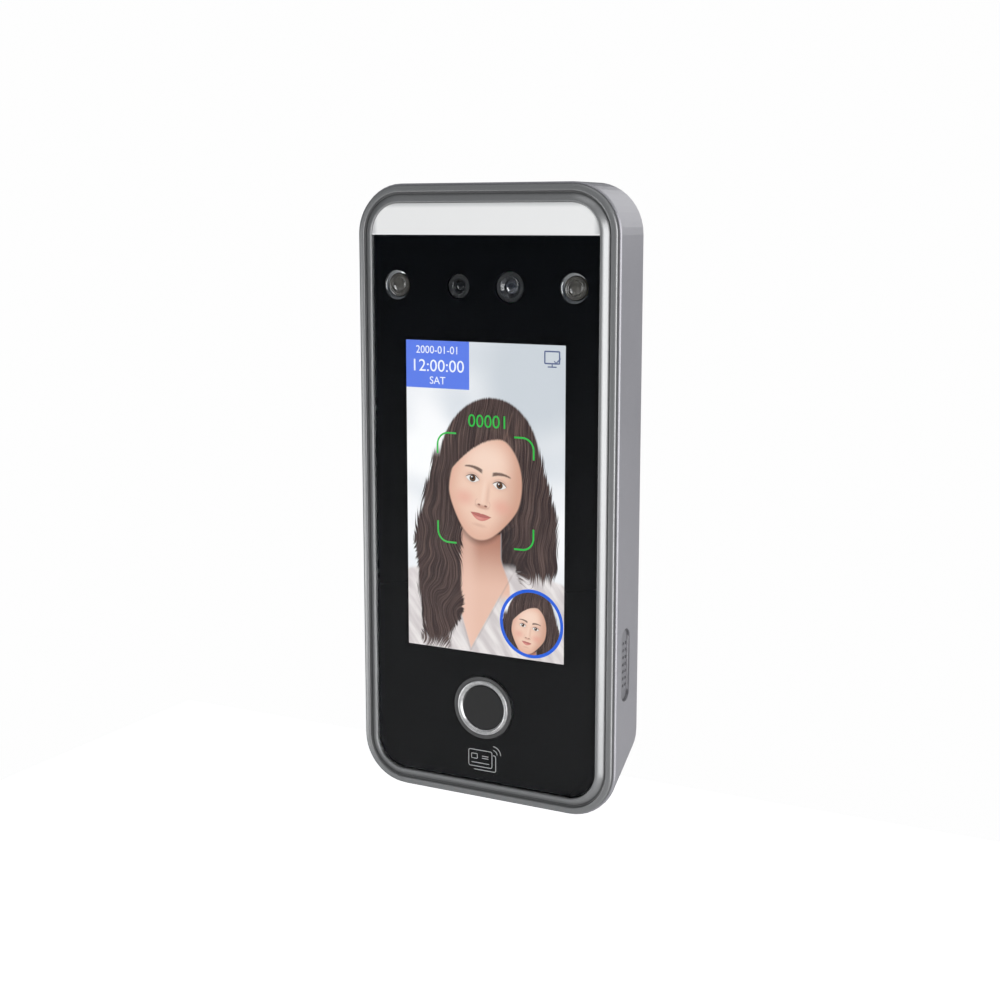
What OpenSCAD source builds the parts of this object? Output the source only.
// Wall-mounted access terminal: face cameras, colour screen, round
// fingerprint sensor and card reader in a flat case that hangs on a steel
// wall plate. Millimetres. The origin is on the wall, at the centre of the
// plate's four wall screws. The wall is the plane y = 0, the front looks
// along -Y, +X is to a visitor's right and +Z is up. Depths named d are
// distances out from the wall.

/* [Case] */
// Width of the rear case
case_w = 101; // [96:0.5:121.2]
// Height of the rear case at its front edge
case_h = 218.8; // [210:0.5:262.6]
// Corner radius of the rear case
case_r = 17.5; // [17:0.5:21]
// Distance from the wall to the rear case's front edge
case_front = 20; // [20:0.5:24]
// Wall thickness of the rear case
case_wall = 2.6; // [2.2:0.1:3.1]
// Thickness of the rear case's back
back_wall = 1.7; // [1.4:0.1:2]
// Gap between the rear case and the wall
wall_gap = 0.3; // [0.2:0.1:0.6]
// How far the underside rises from front to back
bevel_rise = 11; // [8:0.5:13.2]
// Height of the upright band in front of the sloping underside
bevel_band = 2; // [1:0.5:4]

/* [Front frame] */
// Width of the frame from its outer edge to the glass
bezel_w = 6; // [5.6:0.1:7.2]
// Step from the case's outer wall to the frame's outer wall
frame_inset = 0.7; // [0.4:0.1:1]
// Height of the frame's crest above the glass
crest_h = 0.5; // [0.2:0.1:0.8]
// Width of the ledge that carries the glass
ledge_w = 1.6; // [1.2:0.1:2]

/* [Glass] */
// Thickness of the cover glass
glass_t = 1.1; // [0.8:0.1:1.5]
// Gap around the glass
glass_gap = 0.1; // [0.05:0.05:0.3]
// Height of the white light panel above the black glass
light_h = 11; // [8:0.5:14]

/* [Screen] */
// Width of the picture area
screen_w = 62.1; // [55:0.1:66]
// Height of the picture area
screen_h = 110.4; // [95:0.1:112]

/* [Cameras and lamps] */
// Height of the row of windows above the centre
window_z = 74.3; // [70:0.1:77]
// Distance of each infra-red lamp from the middle
lamp_x = 34.2; // [30:0.1:34.5]
// Diameter of a lamp's reflector mouth
lamp_d = 10.2; // [8:0.1:11]
// Sideways place of the infra-red camera
ir_camera_x = -9.7; // [-14:0.1:-8]
// Diameter of the infra-red camera's window
ir_camera_d = 8.7; // [7:0.1:9]
// Sideways place of the colour camera
colour_camera_x = 10.1; // [8:0.1:14]
// Diameter of the colour camera's window
colour_camera_d = 10.8; // [9:0.1:11]

/* [Fingerprint sensor] */
// Height of the sensor's centre, below the middle
sensor_z = -74.9; // [-76:0.1:-74.5]
// Diameter of the sensing disc
sensor_d = 16.3; // [13:0.1:17]
// Outer diameter of the bright ring
ring_d = 20; // [18.5:0.1:21]
// Outer diameter of the ring's sloping skirt
skirt_d = 22.8; // [21.5:0.1:24]

/* [Speaker] */
// Height of the grille's centre, below the middle
grille_z = -55; // [-60:0.5:-50]
// Length of the grille's recess
grille_l = 26; // [22:0.5:30]
// Width of the grille's recess
grille_w = 7.2; // [6.5:0.1:9]
// Diameter of a sound hole
sound_hole_d = 1.3; // [0.8:0.1:1.5]
// Distance between sound holes
sound_pitch = 2.5; // [2:0.1:3]

/* [Wall plate] */
// Width of the wall plate
plate_w = 70; // [66:0.5:74]
// Thickness of the wall plate's steel
plate_t = 1.5; // [1:0.1:1.8]
// Sideways distance between the wall screws
bolt_x = 44; // [36:0.5:50]
// Upright distance between the wall screws
bolt_z = 124; // [120:0.5:130]
// Diameter of a wall screw's hole
bolt_d = 4.4; // [3.5:0.1:5]
// How far the terminal lifts to come off its hooks
lift = 8; // [6:0.5:9]

/* [Fits] */
// Clearance between bodies that slide past each other
slide_gap = 0.3; // [0.2:0.05:0.5]
// Clearance round a plunger or a screw in its hole
bore_gap = 0.1; // [0.05:0.01:0.2]

/* [Hidden] */
$fn = 64;
// hull outlines stay light, because they are faceted
hull_fn = 44;
far = 400;

// places along the depth, from the wall towards the front
glass_front = case_front + 2.2;
glass_back = glass_front - glass_t;
tape_t = 0.3;
ledge_front = glass_back - tape_t;
ledge_t = 1.6;
ledge_back = ledge_front - ledge_t;
mask_t = 0.15;
mask_back = glass_back - mask_t;
gasket_t = 0.3;
lcd_front = mask_back - gasket_t;
lcd_t = 1.3;
backlight_t = 2.15;
chassis_front = lcd_front - lcd_t - backlight_t;
chassis_t = 1.5;
chassis_back = chassis_front - chassis_t;
board_t = 1.6;
board_back = 9.4;
board_front = board_back + board_t;
sensor_board_t = 1;
camera_board_back = chassis_back - 2.9;
camera_board_front = camera_board_back + sensor_board_t;

// the frame: corner centres, and radii measured from them
frame_w = case_w - 2*frame_inset;
frame_h = case_h - 2*frame_inset;
frame_r = case_r - frame_inset;
corner_x = frame_w/2 - frame_r;
corner_z = frame_h/2 - frame_r;
open_r = frame_r - bezel_w;
open_w = frame_w - 2*bezel_w;
open_h = frame_h - 2*bezel_w;
tongue_in = open_r + 3.6;
tongue_out = open_r + 4.9;
tongue_back = case_front - 1.2;
rebate_back = tongue_back - 0.6;
rebate_r = tongue_out + 0.1;

// the plate's recess in the case's back
recess_d = wall_gap + 1.8;
floor_in = recess_d + back_wall;
recess_w = plate_w + 2*slide_gap;
plate_top = 72;
plate_bottom = -(case_h/2 - bevel_rise) + 1.9;
window_w = 56;
window_top = 9;
window_bottom = -50;

// room over the heads of the wall screws
head_room_w = 10;
head_room_d = recess_d + 2.8;

// hooks of the wall plate
hook_x = 26;
hook_w = 12;
hook_h = 5;
hook_z = bolt_z/2 - head_room_w/2 - lift - back_wall - hook_h - 1;
hook_reach = floor_in + 1.9;

// lock screw under the case
flange_w = 12;
flange_d = 9;
flange_z = plate_bottom;
notch_w = flange_w + 4;
notch_d = flange_d + 0.6;
notch_top = flange_z + plate_t + slide_gap;
lock_y = 5.5;
lock_d = 3;
lock_l = 7;

// well for the cables behind the wall plate's window
well_w = 64;
well_top = -14;
well_bottom = -52;
well_floor = 15.6;
well_wall = 1.2;
socket_wall = 1.6;

// sockets along the mainboard's lower edge
jack_w = 16;
jack_d0 = 4.1;
jack_d1 = 15.3;
jack_l = 15.4;
port_w = 11.8;
port_d = 8.2;
port_l = 11;
header_x = 20.8;
header_w = 17;
header_d0 = 4;
header_l = 8.5;

// mainboard
main_w = 68;
main_top = 84;
main_bottom = well_top + socket_wall + 0.6;
stud_x = 30.5;
stud_z = [8, 78];
stud_d = 6;

// buttons in the case's back
tamper_x = 20;
tamper_z = -2;
tamper_d = 4;
tamper_travel = 1.5;
reset_x = -20;
reset_z = -2;
reset_d = 3.6;
reset_travel = 0.8;
flange_gap = 0.15;

// case screws
post_x = frame_w/2 - 6.2;
post_z = [-84, 0, 84];
post_d = 6;
boss_d = 7.5;
split_d = 9;
screw_d = 3;
head_d = 5.5;
head_l = 1.8;
sink_d = 6.2;
sink_l = 2.6;
insert_d = 4.4;
insert_l = 5;

// chassis, kept clear of the case screws' posts, and its screws
chassis_w = 2*(post_x - post_d/2 - slide_gap);
tab_x = frame_w/2 - 5.6;
tab_z = [-30, 30];
tab_d = 7;

// camera parts
barrel_front = mask_back - 0.3;
lens_t = 1.2;

// ---- outlines and small shared shapes ----

// rectangle with round corners, in the plane of the wall
module plate_outline(w, h, r, fn = $fn) {
    union() {
        square([w - 2*r, h], center = true);
        square([w, h - 2*r], center = true);
        for (sx = [-1, 1], sz = [-1, 1])
            translate([sx*(w/2 - r), sz*(h/2 - r)]) circle(r, $fn = fn);
    }
}

// extrudes an outline from depth d0 out to depth d1
module slab(d0, d1) {
    translate([0, -d0, 0]) rotate([90, 0, 0]) linear_extrude(d1 - d0) children();
}

// a box given by its middle across, its foot, and its depths
module block(w, z0, z1, d0, d1, x = 0) {
    translate([x - w/2, -d1, z0]) cube([w, d1 - d0, z1 - z0]);
}

// a round bar that points out from the wall
module bar(d, d0, d1, x = 0, z = 0) {
    translate([x, -d0, z]) rotate([90, 0, 0]) cylinder(h = d1 - d0, d = d);
}

// a tube that points out from the wall
module tube(d_out, d_in, d0, d1, x = 0, z = 0) {
    difference() {
        bar(d_out, d0, d1, x, z);
        bar(d_in, d0 - 1, d1 + 1, x, z);
    }
}

// a turned shape round an axis that points out from the wall
module turned(points, x = 0, z = 0) {
    translate([x, 0, z]) rotate([90, 0, 0]) rotate_extrude() polygon(points);
}

// a profile of [radius, depth] points carried round the frame's corners
module rim(points) {
    flat = [for (p = points) [p[0], -p[1]]];
    for (mx = [0, 1], mz = [0, 1])
        mirror([mx, 0, 0]) mirror([0, 0, mz]) translate([corner_x, 0, corner_z])
            rotate([90, 0, 0]) rotate_extrude(angle = 90) polygon(points);
    for (mx = [0, 1])
        mirror([mx, 0, 0]) translate([corner_x, 0, -corner_z])
            linear_extrude(2*corner_z) polygon(flat);
    for (mz = [0, 1])
        mirror([0, 0, mz]) translate([corner_x, 0, corner_z])
            rotate([0, -90, 0]) linear_extrude(2*corner_x) polygon(flat);
}

// a pan-head screw along the depth, its head at the wall end
module screw_in(x, z, d0, shank_l, d, head, head_t) {
    union() {
        bar(head, d0, d0 + head_t, x, z);
        bar(d, d0 + head_t, d0 + head_t + shank_l, x, z);
    }
}

// places children at the four wall screws
module at_bolts() {
    for (sx = [-1, 1], sz = [-1, 1]) translate([sx*bolt_x/2, 0, sz*bolt_z/2]) children();
}

// places children at the six case screws
module at_posts() {
    for (sx = [-1, 1], z = post_z) translate([sx*post_x, 0, z]) children();
}

// places children at the four chassis screws
module at_tabs() {
    for (sx = [-1, 1], z = tab_z) translate([sx*tab_x, 0, z]) children();
}

// places children at the mainboard's four studs
module at_studs() {
    for (sx = [-1, 1], z = stud_z) translate([sx*stud_x, 0, z]) children();
}

// ---- wall plate and its lock screw ----

// an upturned hook that reaches through the case's back
module hook(x) {
    block(hook_w, hook_z, hook_z + plate_t, plate_t, hook_reach, x);
    block(hook_w, hook_z, hook_z + hook_h, hook_reach - 1.2, hook_reach, x);
}

module wall_plate() {
    mid = (plate_top + plate_bottom)/2;
    color("darkgray") difference() {
        union() {
            slab(0, plate_t) translate([0, mid])
                plate_outline(plate_w, plate_top - plate_bottom, 3);
            for (x = [-hook_x, hook_x]) hook(x);
            block(flange_w, flange_z, flange_z + plate_t, 0, flange_d);
        }
        slab(-1, plate_t + 1) translate([0, (window_top + window_bottom)/2])
            plate_outline(window_w, window_top - window_bottom, 4);
        at_bolts() bar(bolt_d, -1, plate_t + 1);
        translate([0, -lock_y, flange_z - 1]) cylinder(h = plate_t + 2, d = lock_d + 2*bore_gap);
    }
}

module lock_screw() {
    head_l = 2;
    socket_l = 1.2;
    color("silver") translate([0, -lock_y, flange_z - head_l]) difference() {
        union() {
            cylinder(h = head_l, d = 5.6);
            translate([0, 0, head_l]) cylinder(h = lock_l, d = lock_d);
        }
        translate([0, 0, -0.01]) cylinder(h = socket_l, d = 2.6, $fn = 6);
    }
}

// ---- rear case ----

// the case's outer or inner form, set in by a wall and started at a depth
module case_form(inset, d0, d1, chamfer) {
    w = case_w - 2*inset;
    h = case_h - 2*inset;
    r = case_r - inset;
    thin = 0.01;
    hull() {
        slab(d1 - thin, d1)
            plate_outline(w - chamfer, h - chamfer, r - chamfer/2, hull_fn);
        slab(case_front - bevel_band, d1 - chamfer/2) plate_outline(w, h, r, hull_fn);
        translate([0, 0, bevel_rise/2]) {
            slab(d0 + chamfer, d0 + chamfer + thin)
                plate_outline(w, h - bevel_rise, r, hull_fn);
            slab(d0, d0 + thin)
                plate_outline(w - 2*chamfer, h - bevel_rise - 2*chamfer, r - chamfer, hull_fn);
        }
    }
}

module speaker_grille() {
    middle_d = 12;
    recess_t = 0.9;
    end_r = grille_w/2;
    x = case_w/2;
    hull() for (s = [-1, 1])
        translate([x - recess_t, -middle_d, grille_z + s*(grille_l/2 - end_r)])
            rotate([0, 90, 0]) cylinder(h = 5, r = end_r, $fn = 32);
    for (row = [-3:3], col = [-1:1])
        translate([x - case_wall - 1, -middle_d + col*sound_pitch*0.8, grille_z + row*sound_pitch])
            rotate([0, 90, 0]) cylinder(h = case_wall + 2, d = sound_hole_d, $fn = 16);
}

module rear_case() {
    color("lightslategray") difference() {
        union() {
            difference() {
                case_form(0, wall_gap, case_front, 0.8);
                case_form(case_wall, wall_gap + back_wall, case_front + 1, 0);
            }
            // floor under the wall plate's recess, and the walls round notch and well
            intersection() {
                case_form(1, wall_gap + 0.2, case_front, 0);
                union() {
                    block(recess_w + 2*back_wall, -far/2, plate_top + 2.2, wall_gap, floor_in);
                    block(notch_w + 3.4, -far/2, notch_top + back_wall, wall_gap, notch_d + back_wall);
                    block(lock_d + 7, notch_top, notch_top + 9, wall_gap, notch_d + 1);
                }
            }
            block(well_w + 2*socket_wall, well_bottom - socket_wall, well_top + socket_wall,
                wall_gap + back_wall, well_floor + well_wall);
            at_bolts() block(head_room_w + 2*back_wall, -head_room_w/2 - lift - back_wall,
                head_room_w/2 + back_wall, recess_d, head_room_d + back_wall);
            at_posts() bar(boss_d, wall_gap + 1, split_d);
            at_studs() bar(stud_d, wall_gap + 1, board_back);
        }
        // recess for the wall plate, open downwards
        block(recess_w, -far/2, plate_top + slide_gap, -1, recess_d);
        // rebate for the frame's tongue
        slab(rebate_back, case_front + 1)
            plate_outline(2*(corner_x + rebate_r), 2*(corner_z + rebate_r), rebate_r);
        // room for the heads of the wall screws, as the case slides over them
        at_bolts() block(head_room_w, -head_room_w/2 - lift, head_room_w/2, recess_d - 1, head_room_d);
        // notch for the plate's lock flange
        block(notch_w, -far/2, notch_top, -1, notch_d);
        translate([0, -lock_y, notch_top - 1]) cylinder(h = insert_l + 1, d = insert_d);
        translate([0, -lock_y, notch_top - 1]) cylinder(h = lift + 2, d = lock_d + 0.8);
        // cable well
        block(well_w, well_bottom, well_top, -1, well_floor);
        block(jack_w + 0.4, well_top - 1, well_top + socket_wall + 1, jack_d0 - 0.2, jack_d1 + 0.2);
        for (x = [-header_x, header_x])
            block(header_w + 0.4, well_top - 1, well_top + socket_wall + 1,
                header_d0 - 0.2, board_back + 0.2, x);
        // slots for the hooks
        for (x = [-hook_x, hook_x])
            block(hook_w + 2*slide_gap, hook_z - lift - 1, hook_z + plate_t + slide_gap,
                recess_d - 1, floor_in + 1, x);
        // buttons
        bar(tamper_d + 2*bore_gap, recess_d - 1, floor_in + 1, tamper_x, tamper_z);
        bar(reset_d + 2*bore_gap, recess_d - 1, floor_in + 1, reset_x, reset_z);
        // screws
        at_posts() {
            bar(sink_d, -1, wall_gap + sink_l);
            bar(screw_d + 2*bore_gap, 0, split_d + 1);
        }
        at_studs() bar(2.1, floor_in, board_back + 1);
        speaker_grille();
    }
}

module perimeter_seal() {
    color("dimgray") rim([
        [tongue_in + 0.5, rebate_back], [tongue_out, rebate_back],
        [tongue_out, tongue_back], [tongue_in + 0.5, tongue_back]
    ]);
}

// ---- front frame ----

// section of the frame from the glass out: crest, sloping bead, groove, lip
module front_frame() {
    groove = glass_front - 1.4;
    lip = glass_front - 0.45;
    outer = frame_r;
    section = [
        [open_r, glass_front + 0.1],
        [open_r + 0.1, glass_front + 0.6*crest_h],
        [open_r + 0.4, glass_front + crest_h],
        [open_r + 0.8, glass_front + crest_h - 0.05],
        [open_r + 1.2, glass_front + crest_h - 0.25],
        [open_r + 1.9, glass_front - 0.3],
        [open_r + 2.6, glass_front - 0.95],
        [open_r + 3, groove],
        [open_r + 3.4, groove],
        [open_r + 3.6, groove + 0.6],
        [open_r + 3.8, lip],
        [outer - 0.8, lip - 0.05],
        [outer - 0.3, lip - 0.3],
        [outer, lip - 0.85],
        [outer, case_front],
        [tongue_out, case_front],
        [tongue_out, tongue_back],
        [tongue_in, tongue_back],
        [tongue_in, ledge_back],
        [open_r - ledge_w, ledge_back],
        [open_r - ledge_w, ledge_front],
        [open_r, ledge_front]
    ];
    color("silver") difference() {
        union() {
            rim(section);
            at_posts() bar(post_d, split_d + 0.1, ledge_back + 0.5);
            at_tabs() bar(5, chassis_front, ledge_back + 0.5);
        }
        at_posts() bar(insert_d, split_d, split_d + 0.1 + insert_l);
        at_posts() bar(screw_d + 2*bore_gap, split_d, split_d + insert_l + 3);
        at_tabs() bar(1.9, chassis_front - 1, chassis_front + 4);
    }
}

// ---- glass and the layers behind it ----

// height of the line between white panel and black glass
function light_line() = open_h/2 - light_h;

// the part of the opening below, or above, the light line
module glass_outline(above, gap) {
    intersection() {
        plate_outline(open_w - 2*gap, open_h - 2*gap, open_r - gap);
        if (above) translate([-far/2, light_line() + gap/2]) square([far, far]);
        else translate([-far/2, light_line() - gap/2 - far]) square([far, far]);
    }
}

module cover_glass() {
    color([0.3, 0.35, 0.4, 0.5]) difference() {
        slab(glass_back, glass_front) glass_outline(false, glass_gap);
        bar(skirt_d + 2*bore_gap, glass_back - 1, glass_front + 1, 0, sensor_z);
    }
}

module ink_mask() {
    gap = glass_gap + 0.4;
    color("black") difference() {
        slab(mask_back, glass_back) glass_outline(false, gap);
        block(screen_w + 0.4, -screen_h/2 - 0.2, screen_h/2 + 0.2, mask_back - 1, glass_back + 1);
        for (x = [-lamp_x, lamp_x]) bar(lamp_d, mask_back - 1, glass_back + 1, x, window_z);
        bar(ir_camera_d, mask_back - 1, glass_back + 1, ir_camera_x, window_z);
        bar(colour_camera_d, mask_back - 1, glass_back + 1, colour_camera_x, window_z);
        bar(skirt_d + 1, mask_back - 1, glass_back + 1, 0, sensor_z);
    }
}

// double-sided tape on the frame's ledge
module glass_tape() {
    color("gray") rim([
        [open_r - ledge_w + 0.2, ledge_front], [open_r - 0.3, ledge_front],
        [open_r - 0.3, mask_back], [open_r - ledge_w + 0.2, mask_back]
    ]);
}

module light_panel() {
    color("white") slab(glass_back - 0.1, glass_front) glass_outline(true, glass_gap);
}

module light_board() {
    z0 = light_line() + 0.6;
    color("green") block(72, z0, z0 + 8.2, chassis_front, chassis_front + sensor_board_t);
}

module light_leds() {
    count = 10;
    pitch = 6.8;
    z0 = light_line() + 3.2;
    d0 = chassis_front + sensor_board_t;
    color("lightyellow") for (i = [0:count - 1])
        block(2.8, z0, z0 + 3, d0, d0 + 0.8, (i - (count - 1)/2)*pitch);
}

// ---- display ----

// foam frame between the ink and the display
module screen_gasket() {
    color("black") difference() {
        block(screen_w + 4, -screen_h/2 - 2, screen_h/2 + 2, lcd_front, mask_back);
        block(screen_w + 1, -screen_h/2 - 0.5, screen_h/2 + 0.5, lcd_front - 1, mask_back + 1);
    }
}

module lcd_panel() {
    color("steelblue") block(screen_w + 4, -screen_h/2 - 4, screen_h/2 + 2, lcd_front - lcd_t, lcd_front);
}

module lcd_backlight() {
    color("lightgray") block(screen_w + 4.6, -screen_h/2 - 4.4, screen_h/2 + 2.4,
        chassis_front, lcd_front - lcd_t);
}

// flat ribbon that folds from the display's foot to the mainboard
module lcd_ribbon() {
    w = 14;
    t = 0.2;
    top = -screen_h/2 - 4.4;
    drop = 1.2;
    front = chassis_front + 1;
    back = chassis_back - 1;
    color("darkorange") {
        block(w, top - drop, top, front - t, front);
        block(w, top - drop, top - drop + t, back, front);
    }
}

// ---- chassis ----

module chassis() {
    window = 33.6;
    color("dimgray") difference() {
        union() {
            slab(chassis_back, chassis_front) plate_outline(chassis_w, open_h - 7.4, 7);
            for (sx = [-1, 1], z = tab_z)
                block(9, z - tab_d/2, z + tab_d/2, chassis_back, chassis_front, sx*(tab_x - 2.1));
        }
        for (x = [-lamp_x, lamp_x]) bar(12.6, chassis_back - 1, chassis_front + 1, x, window_z);
        block(colour_camera_x - ir_camera_x + 13, window_z - 6.5, window_z + 6.5,
            chassis_back - 1, chassis_front + 1, (colour_camera_x + ir_camera_x)/2);
        block(27, sensor_z - 13.5, sensor_z + 13.5, chassis_back - 1, chassis_front + 1);
        block(16, -screen_h/2 - 6.2, -screen_h/2 - 4, chassis_back - 1, chassis_front + 1);
        block(2*(window + 1), well_bottom - 2.4, well_top + 2.4, chassis_back - 1, chassis_front + 1);
        block(2*window, 8, 50, chassis_back - 1, chassis_front + 1);
        at_tabs() bar(2.4, chassis_back - 1, chassis_front + 1);
    }
}

// ---- cameras and lamps ----

module camera_board() {
    color("darkgreen") block(2*lamp_x + 12, window_z - 6.3, window_z + 6.3,
        camera_board_back, camera_board_front);
}

// rubber baffle that keeps stray light out of both cameras
module camera_shroud() {
    front = mask_back;
    back = chassis_front + 1;
    color([0.1, 0.1, 0.1]) difference() {
        block(colour_camera_x - ir_camera_x + 14, window_z - 6.8, window_z + 6.8, back, front,
            (colour_camera_x + ir_camera_x)/2);
        bar(ir_camera_d + 0.4, back - 1, front + 1, ir_camera_x, window_z);
        bar(colour_camera_d + 0.4, back - 1, front + 1, colour_camera_x, window_z);
    }
}

// sensor housing, barrel and bored mouth of one camera
module camera_body(x, d) {
    d0 = camera_board_front;
    mid = d0 + 3.2;
    color([0.15, 0.15, 0.17]) difference() {
        union() {
            block(9.4, window_z - 4.7, window_z + 4.7, d0, mid, x);
            bar(d - 0.6, mid, barrel_front, x, window_z);
        }
        bar(d - 3, mid + 0.6, barrel_front + 1, x, window_z);
    }
}

module camera_lens(x, d) {
    d0 = barrel_front - 2.2;
    r = d/2 - 1.5;
    color([0.2, 0.25, 0.4]) turned([
        [0, d0], [r, d0], [r, d0 + 0.5], [r*0.8, d0 + 0.8], [r*0.5, d0 + 1.05], [0, d0 + lens_t]
    ], x, window_z);
}

module ir_camera_body() camera_body(ir_camera_x, ir_camera_d);
module ir_camera_lens() camera_lens(ir_camera_x, ir_camera_d);
module colour_camera_body() camera_body(colour_camera_x, colour_camera_d);
module colour_camera_lens() camera_lens(colour_camera_x, colour_camera_d);

// open cone round an infra-red lamp
module lamp_reflector(x) {
    d0 = camera_board_front;
    d1 = mask_back;
    color("silver") turned([
        [3, d0], [lamp_d/2 + 0.9, d1 - 2.4], [lamp_d/2 + 0.9, d1], [lamp_d/2, d1],
        [lamp_d/2, d1 - 1.6], [2.3, d0 + 0.6], [2.3, d0]
    ], x, window_z);
}

module lamp_led(x) {
    d0 = camera_board_front;
    r = 1.7;
    color([0.9, 0.9, 0.8]) turned([
        [0, d0], [r, d0], [r, d0 + 1.4], [r*0.85, d0 + 2.1], [r*0.5, d0 + 2.7], [0, d0 + 2.9]
    ], x, window_z);
}

module lamp_reflector_left() lamp_reflector(-lamp_x);
module lamp_reflector_right() lamp_reflector(lamp_x);
module lamp_led_left() lamp_led(-lamp_x);
module lamp_led_right() lamp_led(lamp_x);

// ---- fingerprint sensor ----

module finger_ring() {
    bore = sensor_d/2 + 0.1;
    proud = glass_front + 0.35;
    back = glass_back - 0.6;
    color("silver") turned([
        [bore, back], [skirt_d/2, back], [skirt_d/2, glass_front], [ring_d/2, glass_front + 0.1],
        [ring_d/2 - 0.15, proud], [bore + 0.5, proud], [bore, glass_front - 0.1]
    ], 0, sensor_z);
}

module sensor_gasket() {
    color("black") tube(skirt_d + 3.6, skirt_d + 0.2, mask_back - 0.6, mask_back, 0, sensor_z);
}

module sensor_disc() {
    color([0.08, 0.08, 0.1]) bar(sensor_d, glass_back - 0.6, glass_front - 0.25, 0, sensor_z);
}

// cup that clamps ring, disc and gasket from behind
module sensor_housing() {
    front = glass_back - 0.6;
    color([0.2, 0.2, 0.2]) difference() {
        union() {
            bar(skirt_d + 2.4, front - 1.2, front - 0.15, 0, sensor_z);
            bar(sensor_d + 3.2, chassis_front, front, 0, sensor_z);
        }
        bar(sensor_d - 2, chassis_front - 1, front - 1.5, 0, sensor_z);
    }
}

module sensor_board() {
    color("darkgreen") block(24, sensor_z - 12, sensor_z + 12,
        chassis_front - sensor_board_t, chassis_front);
}

// ---- card reader ----

// flat coil board behind the card mark
module antenna_board() {
    z0 = -open_h/2 + 3;
    z1 = sensor_z - skirt_d/2 - 2.4;
    color("darkgreen") difference() {
        block(60, z0, z1, mask_back - 1.1, mask_back - 0.3);
        block(44, z0 + 3, z1 - 3, mask_back - 2, mask_back);
    }
}

module antenna_ferrite() {
    z0 = -open_h/2 + 3;
    z1 = sensor_z - skirt_d/2 - 2.4;
    color([0.25, 0.22, 0.2]) block(58, z0, z1, mask_back - 1.5, mask_back - 1.1);
}

// ---- mainboard ----

module mainboard() {
    color("darkgreen") difference() {
        block(main_w, main_bottom, main_top, board_back, board_front);
        block(jack_w + 0.6, main_bottom - 1, well_top + jack_l + 0.3, board_back - 1, board_front + 1);
        at_studs() bar(2.7, board_back - 1, board_front + 1);
    }
}

// memory, power and codec chips, inductors and capacitors
module board_chips() {
    chips = [
        [-22, 22, 9, 12, 1.1], [22, 24, 8, 8, 1], [-22, 46, 7, 7, 2.6], [24, 46, 6, 9, 1.2],
        [0, 14, 12, 8, 1], [-24, 62, 5, 5, 1.6], [18, 62, 10, 5, 1.2], [-9, 62, 4, 6, 1.3]
    ];
    color([0.12, 0.12, 0.13]) for (c = chips)
        block(c[2], c[1] - c[3]/2, c[1] + c[3]/2, board_front, board_front + c[4], c[0]);
}

module processor_shield() {
    side = 26;
    z = 36;
    h = 2.4;
    wall = 0.3;
    color("silver") difference() {
        block(side, z - side/2, z + side/2, board_front, board_front + h);
        block(side - 2*wall, z - side/2 + wall, z + side/2 - wall, board_front - 1, board_front + h - wall);
    }
}

module heat_pad() {
    color("lightpink") block(20, 26, 46, board_front + 2.4, board_front + 3.4);
}

cell_d = 12.5;
cell_x = 0;
cell_z = 60;
cell_back = board_back - 3.2;

module coin_cell() {
    color("silver") bar(cell_d, cell_back, cell_back + 2, cell_x, cell_z);
}

module cell_holder() {
    color([0.15, 0.15, 0.15]) difference() {
        block(cell_d + 4.5, cell_z - 7.5, cell_z + 7.5, cell_back, board_back, cell_x);
        bar(cell_d + 2*bore_gap, cell_back - 1, cell_back + 2, cell_x, cell_z);
    }
}

module relay() {
    color("white") block(10, 14, 29, board_back - 5, board_back, 3);
}

// socket whose mouth looks down into the cable well
module network_socket() {
    mid = (jack_d0 + jack_d1)/2;
    color("silver") difference() {
        block(jack_w, well_top + 0.1, well_top + jack_l, jack_d0, jack_d1);
        block(port_w, well_top - 1, well_top + port_l, mid - port_d/2, mid + port_d/2);
    }
}

// row of pins in a shroud that opens downwards
module pin_header(x, pins) {
    wall = 0.5;
    z0 = well_top + 0.1;
    pitch = (header_w - 3)/pins;
    d1 = board_back;
    mid = (header_d0 + d1)/2;
    difference() {
        block(header_w, z0, z0 + header_l, header_d0, d1, x);
        block(header_w - 2*wall, z0 - 1, z0 + header_l - 1.4, header_d0 + wall, d1 - wall, x);
    }
    for (i = [0:pins - 1])
        translate([x + (i - (pins - 1)/2)*pitch - 0.3, -mid - 0.3, z0 + header_l - 2.4])
            cube([0.6, 0.6, 1.4]);
}

module power_header() color("white") pin_header(-header_x, 4);
module signal_header() color("white") pin_header(header_x, 6);

// ---- speaker ----

speaker_face = case_w/2 - case_wall - 1;
speaker_l = 25;
speaker_w = 9.4;
speaker_d = chassis_back - slide_gap;

// box of the side-firing speaker, open towards the grille
module speaker_frame() {
    depth = 8;
    wall = 1;
    color([0.15, 0.15, 0.15]) translate([speaker_face - depth, 0, 0]) difference() {
        translate([0, -speaker_d, grille_z - speaker_l/2]) cube([depth, speaker_w, speaker_l]);
        translate([wall, wall - speaker_d, grille_z - speaker_l/2 + wall])
            cube([depth, speaker_w - 2*wall, speaker_l - 2*wall]);
    }
}

module speaker_cone() {
    color("black") translate([speaker_face - 1.6, 1 - speaker_d, grille_z - speaker_l/2 + 1])
        cube([0.8, speaker_w - 2, speaker_l - 2]);
}

module speaker_gasket() {
    color("gray") difference() {
        translate([speaker_face, -speaker_d, grille_z - speaker_l/2]) cube([1, speaker_w, speaker_l]);
        translate([speaker_face - 1, 1.2 - speaker_d, grille_z - speaker_l/2 + 1.2])
            cube([3, speaker_w - 2.4, speaker_l - 2.4]);
    }
}

// ---- buttons in the back ----

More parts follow.
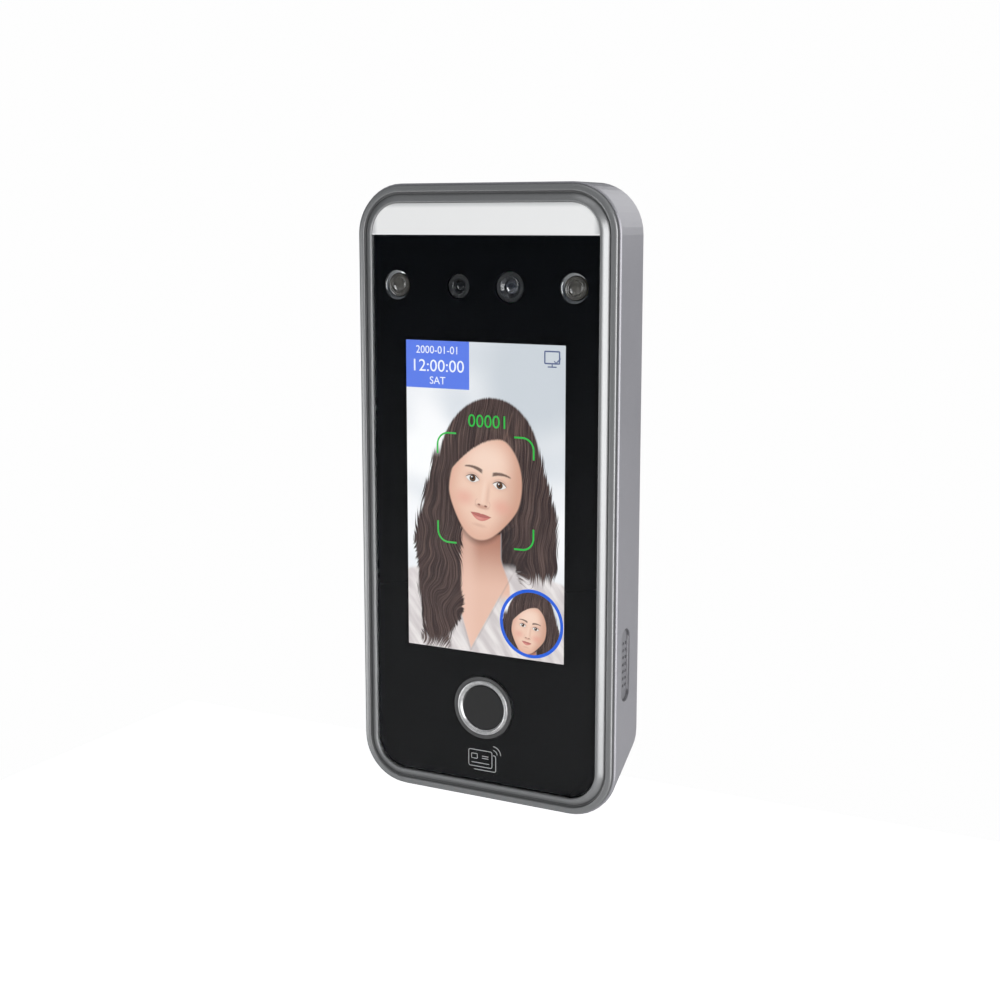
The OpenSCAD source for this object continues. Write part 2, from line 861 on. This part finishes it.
// stem, stop flange and tail; the stem's end is the end that is pressed
module plunger(x, z, d, tip, tail_end) {
    union() {
        bar(d, tip, floor_in + flange_gap + 1, x, z);
        bar(d + 2.4, floor_in + flange_gap, floor_in + flange_gap + 0.9, x, z);
        bar(d*0.55, floor_in + 1, tail_end, x, z);
    }
}

switch_back = board_back - 2.2;

module tamper_plunger() color("black")
    plunger(tamper_x, tamper_z, tamper_d, 0.1, switch_back - tamper_travel - 0.1);

module tamper_switch() color("silver")
    block(6, tamper_z - 3, tamper_z + 3, switch_back, board_back, tamper_x);

module reset_button() color("firebrick")
    plunger(reset_x, reset_z, reset_d, recess_d + 0.2, switch_back - reset_travel - 0.1);

module reset_switch() color("silver")
    block(6, reset_z - 3, reset_z + 3, switch_back, board_back, reset_x);

// ---- fasteners ----

module case_screws() {
    head_back = wall_gap + sink_l - head_l;
    shank = split_d + insert_l - head_back - head_l;
    color("dimgray") at_posts() difference() {
        screw_in(0, 0, head_back, shank, screw_d, head_d, head_l);
        for (turn = [0, 90])
            rotate([0, turn, 0]) translate([-1.5, -head_back - 1, -0.35]) cube([3, 2, 0.7]);
    }
}

module case_inserts() {
    color("goldenrod") at_posts()
        tube(insert_d, screw_d, split_d + 0.1, split_d + 0.1 + insert_l);
}

module chassis_screws() {
    color("dimgray") at_tabs()
        screw_in(0, 0, chassis_back - 1.4, chassis_t + 3.5, 1.9, 4, 1.4);
}

module board_screws() {
    length = 4.5;
    color("dimgray") at_studs() union() {
        bar(2.1, board_front - length, board_front);
        bar(4.4, board_front, board_front + 1.4);
    }
}

module lock_insert() {
    color("goldenrod") translate([0, -lock_y, notch_top]) difference() {
        cylinder(h = insert_l, d = insert_d);
        translate([0, 0, -1]) cylinder(h = insert_l + 2, d = lock_d + 2*bore_gap);
    }
}

wall_plate();
lock_screw();
rear_case();
front_frame();
perimeter_seal();
cover_glass();
ink_mask();
glass_tape();
light_panel();
light_board();
light_leds();
screen_gasket();
lcd_panel();
lcd_backlight();
lcd_ribbon();
chassis();
camera_board();
camera_shroud();
ir_camera_body();
ir_camera_lens();
colour_camera_body();
colour_camera_lens();
lamp_reflector_left();
lamp_reflector_right();
lamp_led_left();
lamp_led_right();
finger_ring();
sensor_gasket();
sensor_disc();
sensor_housing();
sensor_board();
antenna_board();
antenna_ferrite();
mainboard();
board_chips();
processor_shield();
heat_pad();
coin_cell();
cell_holder();
relay();
network_socket();
power_header();
signal_header();
speaker_frame();
speaker_cone();
speaker_gasket();
tamper_plunger();
tamper_switch();
reset_button();
reset_switch();
case_screws();
case_inserts();
chassis_screws();
board_screws();
lock_insert();
